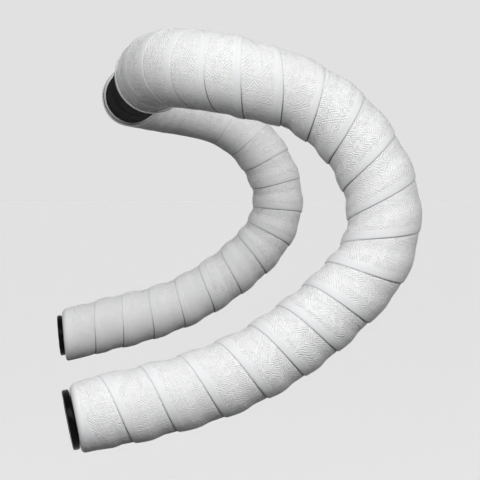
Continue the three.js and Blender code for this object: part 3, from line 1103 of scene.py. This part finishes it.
    def throat_ring(self, depth: float, radius: float) -> np.ndarray:
        """A ring round the plug's own axis, a depth into the bar."""
        place, along, side, rise = (row[0] for row in self.centreline.frames(np.zeros(1)))
        inward = unit(along + rise * math.tan(self.winding.end_lean))
        above = np.cross(inward, side)
        angles = self.angles[:-1, None]
        middle = place - along * self.winding.end_reach + inward * depth
        return middle + radius * (side * np.cos(angles) + above * np.sin(angles))

    def lining_ring(self, station: float, radius: float) -> np.ndarray:
        """A plain ring round the centreline."""
        return self.centreline.points(np.full(self.sides, station), self.angles[:-1], radius)

    def inner_rings(self) -> list[np.ndarray]:
        """The rings that the hidden inside needs, from the tape's cut end round to the throat."""
        sizes = self.centreline.sizes
        rings = []
        for station in np.linspace(self.tape_end, sizes.end_cover, self.lining_rings):
            bar = float(self.centreline.bar_radius(np.array([station]))[0])
            rings.append(self.lining_ring(station, bar + sizes.clearance))
        rings.append(self.lining_ring(sizes.end_cover, self.tuck_radius))
        rings.append(self.lining_ring(self.tuck_depth, self.tuck_radius))
        rings.append(self.throat_ring(self.tuck_depth, self.throat_radius - self.throat_taper))
        rings.append(self.throat_ring(self.throat_rounding, self.throat_radius))
        return rings

    def build(self) -> bpy.types.Object:
        """Makes the tape's closed skin: the wound outside, the rounded lip and the hidden inside.

        Returns:
            The finished tape, with its strip map and its layer of painted edge shade.
        """
        stations, radii, ways, turn_lengths, edge_shades = self.grid()
        bands, _, columns = stations.shape
        sides = self.sides
        ring = np.arange(sides)

        # Rows run along the helix: a row that has gone once round goes on as the row one turn further
        row_stations = stations[:, :sides].transpose(0, 2, 1).reshape(-1, sides)
        row_radii = radii[:, :sides].transpose(0, 2, 1).reshape(-1, sides)
        rows = len(row_stations)
        high = self.tape_end
        low = self.lip + self.lip_station(np.full(sides, self.winding_radius))
        low_radii = np.array([np.interp(low[j], row_stations[:, j], row_radii[:, j]) for j in ring])
        high_radii = np.array([np.interp(high, row_stations[:, j], row_radii[:, j]) for j in ring])
        below = row_stations <= low[None, :] + self.snap
        above = row_stations >= high - self.snap

        angles = self.angles[:-1]
        skin = self.centreline.points(row_stations, np.broadcast_to(angles, row_stations.shape), row_radii)
        low_ring = self.centreline.points(low, angles, low_radii)
        high_ring = self.centreline.points(np.full(sides, high), angles, high_radii)
        hidden = self.inner_rings() + self.lip_rings(low, low_radii)

        places = np.concatenate([skin.reshape(-1, 3), high_ring, *hidden, low_ring])
        first_hidden = rows * sides
        low_start = first_hidden + (1 + len(hidden)) * sides
        number = np.arange(rows * sides).reshape(rows, sides)
        number = np.where(below, low_start + ring, np.where(above, first_hidden + ring, number))

        faces: list[tuple[int, ...]] = []
        strip: list[tuple[float, float]] = []
        circumference = FULL_TURN * self.winding_radius / MM
        for row in range(rows - columns - 1):
            band, column = divmod(row, columns)
            here = ways[band, :, column] / MM
            there = ways[band, :, column + 1] / MM if column + 1 < columns else turn_lengths[band] / MM
            this_row = np.append(number[row], number[row + columns, 0])
            next_row = np.append(number[row + 1], number[row + 1 + columns, 0])
            for j in range(sides):
                corners = (this_row[j], this_row[j + 1], next_row[j + 1], next_row[j])
                lengths = (here[j], here[j + 1], there[j + 1], there[j])
                turn = band + j / sides
                spots = (turn, turn + 1 / sides, turn + 1 / sides, turn)
                kept = [k for k in range(4) if corners[k] != corners[k - 1]]
                if len(kept) >= 3:
                    faces.append(tuple(int(corners[k]) for k in kept))
                    strip.extend((spots[k] * circumference, lengths[k]) for k in kept)

        # The hidden rings go on from the cut end and meet the lip where the wound surface begins
        smooth_border = 1.0
        for index in range(len(hidden) + 1):
            start = first_hidden + index * sides
            for j in range(sides):
                after = (j + 1) % sides
                faces.append((start + j, start + after, start + sides + after, start + sides + j))
                strip.extend(((j + step) * circumference / sides, smooth_border) for step in (0, 1, 1, 0))

        # The painted edge shade, on the wound surface's vertices only
        edge_shade = np.zeros(len(places))
        edge_shade[: rows * sides] = edge_shades[:, :sides].transpose(0, 2, 1).ravel()
        return self.mesh_of(places, faces, strip, edge_shade)

    def mesh_of(
        self,
        places: np.ndarray,
        faces: list[tuple[int, ...]],
        strip: list[tuple[float, float]],
        edge_shade: np.ndarray,
    ) -> bpy.types.Object:
        """Makes the object from its vertices and faces, on its own side of the bar.

        Args:
            places: The vertices on the right-hand side, some of them unused.
            faces: The faces, pointing outwards.
            strip: The strip map's coordinates, one pair for each corner of each face.
            edge_shade: How much painted shade each vertex gets at a turn's edge, from 0 to 1.

        Returns:
            The object.
        """
        used = np.unique(np.concatenate([np.array(face) for face in faces]))
        renumbered = np.full(len(places), -1)
        renumbered[used] = np.arange(len(used))
        kept = places[used].copy()
        mirrored = self.winding.side is Side.LEFT
        if mirrored:
            kept[:, 1] *= -1
        polygons, pairs, corner = [], [], 0
        for face in faces:
            loop = [int(renumbered[vertex]) for vertex in face]
            spots = strip[corner:corner + len(face)]
            corner += len(face)
            polygons.append(loop[::-1] if mirrored else loop)
            pairs.extend(spots[::-1] if mirrored else spots)

        name = f"tape_wound_{self.winding.side.word}"
        mesh = bpy.data.meshes.new(name)
        mesh.from_pydata(kept.tolist(), [], polygons)
        layer = mesh.uv_layers.new(name=self.finish.strip_map)
        layer.uv.foreach_set("vector", np.array(pairs, dtype=np.float32).ravel())
        attribute = mesh.attributes.new(self.finish.edge_shade_layer, "FLOAT", "POINT")
        attribute.data.foreach_set("value", edge_shade[used].astype(np.float32))
        mesh.validate()
        tape = Bench.lay(mesh)
        Bench.smooth(math.radians(50))
        return tape


# The strip over the cut end of each winding

@dataclass
class FinishingTape:
    """A few turns of thin strip over the cut end of the tape."""

    centreline: Centreline
    side: Side
    bare_half_length: float = 0.1293
    width: float = 0.013
    tape_seat: float = 0.001
    layer: float = 0.00022
    turns: float = 2.15
    steps_per_turn: int = 96
    edge_inset: float = 0.0001
    crown: float = 0.00002
    air: float = 0.00001

    def build(self) -> bpy.types.Object:
        """Winds the strip as one thin closed spiral band.

        Returns:
            The finished strip, with its strip map.
        """
        sizes = self.centreline.sizes
        seat = sizes.clamp_radius + 2 * sizes.clearance + self.tape_seat
        steps = round(self.turns * self.steps_per_turn)
        section = (
            (0.0, 0.0),
            (0.0, self.layer),
            (self.edge_inset, self.layer + self.crown),
            (self.width - self.edge_inset, self.layer + self.crown),
            (self.width, self.layer),
            (self.width, 0.0),
        )
        places, faces, pairs = [], [], []
        for step in range(steps + 1):
            turned = step / self.steps_per_turn
            angle = FULL_TURN * turned
            lift = seat + self.air + turned * (self.layer + self.air)
            for out, up in section:
                radius = lift + up
                station = self.side.value * (self.bare_half_length + out)
                places.append((radius * math.cos(angle), station, radius * math.sin(angle)))
        count = len(section)
        for step in range(steps):
            for corner in range(count):
                after = (corner + 1) % count
                start = step * count
                face = (start + corner, start + after, start + count + after, start + count + corner)
                faces.append(face)
                along = FULL_TURN * seat * step / self.steps_per_turn / MM
                further = along + FULL_TURN * seat / self.steps_per_turn / MM
                across, beyond = section[corner][0] / MM, section[after][0] / MM
                pairs.extend(((along, across), (along, beyond), (further, beyond), (further, across)))
        last = steps * count
        for end in (tuple(range(count))[::-1], tuple(range(last, last + count))):
            faces.append(end)
            pairs.extend((0.0, out / MM) for out, _ in section)

        name = f"finishing_strip_{self.side.word}"
        mesh = bpy.data.meshes.new(name)
        mesh.from_pydata(places, [], faces)
        layer = mesh.uv_layers.new(name="strip")
        layer.uv.foreach_set("vector", np.array(pairs, dtype=np.float32).ravel())
        strip = Bench.lay(mesh)
        Bench.edit()
        bpy.ops.mesh.normals_make_consistent(inside=False)
        Bench.close()
        Bench.smooth()
        return strip


# The end plugs

@dataclass
class EndPlug:
    """A push-in plug: a rounded flange with a shallow dish, on a hollow barbed shank."""

    centreline: Centreline
    side: Side
    reach: float
    lean: float
    radius: float = 0.0131
    flange: float = 0.0031
    flange_rounding: float = 0.0009
    dish_inset: float = 0.0032
    dish_depth: float = 0.0005
    throat_radius: float = 0.0090
    neck: float = 0.0009
    shank_length: float = 0.015
    wall: float = 0.0018
    barbs: int = 3
    barb_slope: float = 0.6
    barb_back: float = 0.1
    sides: int = 72

    def build(self) -> bpy.types.Object:
        """Shapes the plug standing on the Z axis, then pushes it into its end of the bar.

        Returns:
            The finished plug.
        """
        clearance = self.centreline.sizes.clearance
        Bench.clear()
        bpy.ops.mesh.primitive_cylinder_add(
            vertices=self.sides,
            radius=self.radius,
            depth=self.flange,
            location=(0, 0, clearance + self.flange / 2),
        )
        plug = bpy.context.object
        plug.name = plug.data.name = f"plug_{self.side.word}"
        bpy.ops.object.transform_apply(location=True, rotation=True, scale=True)
        self.round_flange()
        self.dish_face()
        self.draw_shank()
        Bench.smooth()
        self.push_in(plug)
        return plug

    def select_face(self, level: float) -> None:
        """Selects the flat face at a level, looking along the plug's axis."""
        Bench.pick("FACE", lambda face: abs(face.center.z - level) < 1e-6 and abs(face.normal.z) > 0.99)

    def round_flange(self) -> None:
        """Rounds both rims of the flange."""
        places = bpy.context.object.data.vertices

        def is_level(edge: bpy.types.MeshEdge) -> bool:
            """Whether both ends of an edge are at one height."""
            first, second = (places[vertex].co.z for vertex in edge.vertices)
            return abs(first - second) < 1e-6

        Bench.pick("EDGE", is_level)
        bpy.ops.mesh.bevel(offset=self.flange_rounding, segments=6, affect="EDGES")
        Bench.close()

    def dish_face(self) -> None:
        """Sinks a shallow dish into the outer face, with a soft edge."""
        top = self.centreline.sizes.clearance + self.flange
        self.select_face(top)
        bpy.ops.mesh.inset(thickness=self.dish_inset)
        bpy.ops.mesh.inset(thickness=self.dish_depth)
        bpy.ops.transform.translate(value=(0, 0, -self.dish_depth))
        Bench.close()

    def draw_shank(self) -> None:
        """Draws the barbed shank out of the inner face and hollows it."""
        clearance = self.centreline.sizes.clearance
        barb_radius = self.throat_radius - clearance
        neck_radius = barb_radius - self.neck
        pitch = self.shank_length / self.barbs
        self.select_face(clearance)
        bpy.ops.mesh.inset(thickness=self.radius - self.flange_rounding - neck_radius)
        level = clearance
        for _ in range(self.barbs):
            for length, factor in (
                ((1 - self.barb_slope - self.barb_back) * pitch, 1.0),
                (self.barb_back * pitch, barb_radius / neck_radius),
                (self.barb_slope * pitch, neck_radius / barb_radius),
            ):
                level -= length
                Bench.extrude(np.array([0.0, 0.0, -length]))
                Bench.scale(factor, np.array([0.0, 0.0, level]))
        bpy.ops.mesh.inset(thickness=self.wall)
        Bench.extrude(np.array([0.0, 0.0, self.shank_length + self.flange - self.wall]))
        Bench.close()

    def push_in(self, plug: bpy.types.Object) -> None:
        """Stands the plug on its own axis at the bar's end, pushed in a little further along its top."""
        place, along, _, rise = (row[0] for row in self.centreline.frames(np.zeros(1)))
        axis = unit(-along - rise * math.tan(self.lean))
        place = place - along * self.reach
        flip = np.array([1.0, -float(self.side.value), 1.0])
        place, axis = place * flip, axis * flip
        turn = Vector((0, 0, 1)).rotation_difference(Vector(axis)).to_matrix().to_4x4()
        plug.data.transform(Matrix.Translation(Vector(place)) @ turn)


# Studio and camera

@dataclass(frozen=True)
class Lamp:
    """A wide soft lamp: its level, how high it stands and its turn away from the camera's side."""

    name: str
    level: float
    height: float
    turn: float


@dataclass
class Studio:
    """The photograph's camera, a plain pale floor and plain soft light."""

    camera_place: tuple[float, float, float] = (-0.044916, -1.085397, -0.045496)
    camera_yaw: float = -0.0900437
    camera_pitch: float = -0.0340328
    lens: float = 151.17
    background: float = 0.752
    floor_level: float = -0.36
    floor_size: float = 40.0
    floor_colour: float = 0.98
    floor_return: float = 0.04
    floor_glow: float = 0.206
    sky: float = 0.20
    sky_below: float = 0.06
    lamps: tuple[Lamp, ...] = (
        Lamp("lamp_left", 0.33, math.radians(25), math.radians(-38)),
        Lamp("lamp_right", 0.40, math.radians(25), math.radians(38)),
        Lamp("lamp_rear", 0.30, math.radians(10), math.pi),
    )
    lamp_spread: float = math.radians(35)
    near_level: float = 0.39
    near_distance: float = 1.0
    near_height: float = math.radians(31)
    near_radius: float = 0.315
    near_aim: tuple[float, float, float] = (0.03, -0.21, -0.07)

    def place_camera(self) -> None:
        """Makes the camera that took the photograph, as the bar's outline fits it."""
        data = bpy.data.cameras.new("camera")
        data.lens = self.lens
        data.sensor_width = 36.0
        data.clip_start = 0.05
        data.clip_end = 60.0
        camera = bpy.data.objects.new("camera", data)
        bpy.context.scene.collection.objects.link(camera)
        camera.location = self.camera_place
        camera.rotation_euler = (math.pi / 2 + self.camera_pitch, 0.0, self.camera_yaw)
        bpy.context.scene.camera = camera
        log.info("camera: %.1f mm lens at %s", self.lens, self.camera_place)

    def seen(self, sheet: bpy.types.NodeTree) -> bpy.types.NodeSocket:
        """1 where a ray from the camera, a reflection or clear glass sees the surface, and 0 for light."""
        path = sheet.nodes.new("ShaderNodeLightPath")
        total = path.outputs["Is Camera Ray"]
        for name in ("Is Glossy Ray", "Is Transmission Ray"):
            node = sheet.nodes.new("ShaderNodeMath")
            node.operation = "MAXIMUM"
            sheet.links.new(total, node.inputs[0])
            sheet.links.new(path.outputs[name], node.inputs[1])
            total = node.outputs[0]
        return total

    def lay_floor(self) -> None:
        """Lays a wide floor well below the bar. It looks pale and sends little light back up."""
        Bench.clear()
        bpy.ops.mesh.primitive_plane_add(size=self.floor_size, location=(0, 0, self.floor_level))
        floor = bpy.context.object
        floor.name = "floor"
        material = bpy.data.materials.new("floor_pale")
        material.use_nodes = True
        tree = material.node_tree
        shader = tree.nodes["Principled BSDF"]
        colour = tree.nodes.new("ShaderNodeMix")
        colour.data_type = "RGBA"
        colour.inputs[6].default_value = (self.floor_return,) * 3 + (1.0,)
        colour.inputs[7].default_value = (self.floor_colour,) * 3 + (1.0,)
        tree.links.new(self.seen(tree), colour.inputs[0])
        tree.links.new(colour.outputs[2], shader.inputs["Base Color"])
        glow = tree.nodes.new("ShaderNodeMath")
        glow.operation = "MULTIPLY"
        glow.inputs[1].default_value = self.floor_glow
        tree.links.new(self.seen(tree), glow.inputs[0])
        tree.links.new(glow.outputs[0], shader.inputs["Emission Strength"])
        shader.inputs["Emission Color"].default_value = (1.0, 1.0, 1.0, 1.0)
        shader.inputs["Roughness"].default_value = 1.0
        shader.inputs["Specular IOR Level"].default_value = 0.0
        floor.data.materials.append(material)

    def light(self) -> None:
        """Sets the wide soft lamps and a dim sky that is darker below."""
        world = bpy.data.worlds.new("studio")
        bpy.context.scene.world = world
        world.use_nodes = True
        tree = world.node_tree
        tree.nodes.clear()
        output = tree.nodes.new("ShaderNodeOutputWorld")
        coordinate = tree.nodes.new("ShaderNodeTexCoord")
        split = tree.nodes.new("ShaderNodeSeparateXYZ")
        tree.links.new(coordinate.outputs["Generated"], split.inputs[0])
        height = tree.nodes.new("ShaderNodeMapRange")
        height.interpolation_type = "SMOOTHSTEP"
        for name, value in (
            ("From Min", -0.05), ("From Max", 0.3), ("To Min", self.sky_below), ("To Max", self.sky),
        ):
            height.inputs[name].default_value = value
        tree.links.new(split.outputs[2], height.inputs["Value"])
        lit = tree.nodes.new("ShaderNodeBackground")
        lit.inputs["Color"].default_value = (1.0, 1.0, 1.0, 1.0)
        tree.links.new(height.outputs["Result"], lit.inputs["Strength"])
        plain = tree.nodes.new("ShaderNodeBackground")
        plain.inputs["Color"].default_value = (self.background,) * 3 + (1.0,)
        plain.inputs["Strength"].default_value = 1.0
        chosen = tree.nodes.new("ShaderNodeMixShader")
        tree.links.new(self.seen(tree), chosen.inputs[0])
        tree.links.new(lit.outputs[0], chosen.inputs[1])
        tree.links.new(plain.outputs[0], chosen.inputs[2])
        tree.links.new(chosen.outputs[0], output.inputs["Surface"])
        for lamp in self.lamps:
            data = bpy.data.lights.new(lamp.name, "SUN")
            data.energy = lamp.level * math.pi
            data.angle = self.lamp_spread
            sun = bpy.data.objects.new(lamp.name, data)
            bpy.context.scene.collection.objects.link(sun)
            sun.rotation_euler = (math.pi / 2 - lamp.height, 0.0, lamp.turn + self.camera_yaw)
            sun.visible_glossy = abs(lamp.turn) < math.pi / 2
        self.hang_near_lamp()
        bpy.context.scene.view_settings.view_transform = "Standard"

    def hang_near_lamp(self) -> None:
        """Adds a soft lamp on the camera's side, so close that the far side gets a little less of it."""
        data = bpy.data.lights.new("lamp_near", "AREA")
        data.shape = "DISK"
        data.size = 2 * self.near_radius
        data.energy = self.near_level * math.pi**2 * (self.near_distance**2 + self.near_radius**2)
        lamp = bpy.data.objects.new("lamp_near", data)
        bpy.context.scene.collection.objects.link(lamp)
        turn = Euler((math.pi / 2 - self.near_height, 0.0, self.camera_yaw))
        lamp.rotation_euler = turn
        away = turn.to_matrix() @ Vector((0.0, 0.0, self.near_distance))
        lamp.location = Vector(self.near_aim) + away


def main() -> None:
    """Builds the camera, the pieces and the studio in order."""
    logging.basicConfig(level=logging.INFO, format="%(message)s")
    studio = Studio()
    studio.place_camera()
    centreline = Centreline(BarSizes())

    bar = BareBar(centreline).build()
    fit_to_frame(bar, "handlebar", BarFinish().material())

    tape_finish = TapeFinish()
    tape_material = tape_finish.material()
    plug_material = PlugFinish().material()
    strip_material = FinishingFinish().material()
    for winding in (RIGHT_WINDING, LEFT_WINDING):
        side = winding.side
        tape = WoundTape(centreline, winding, tape_finish).build()
        fit_to_frame(tape, f"tape_{side.word}", tape_material)
        strip = FinishingTape(centreline, side).build()
        fit_to_frame(strip, f"finishing_tape_{side.word}", strip_material)
        plug = EndPlug(centreline, side, winding.end_reach, winding.end_lean).build()
        fit_to_frame(plug, f"end_plug_{side.word}", plug_material)

    studio.lay_floor()
    studio.light()


if __name__ == "__main__":
    main()
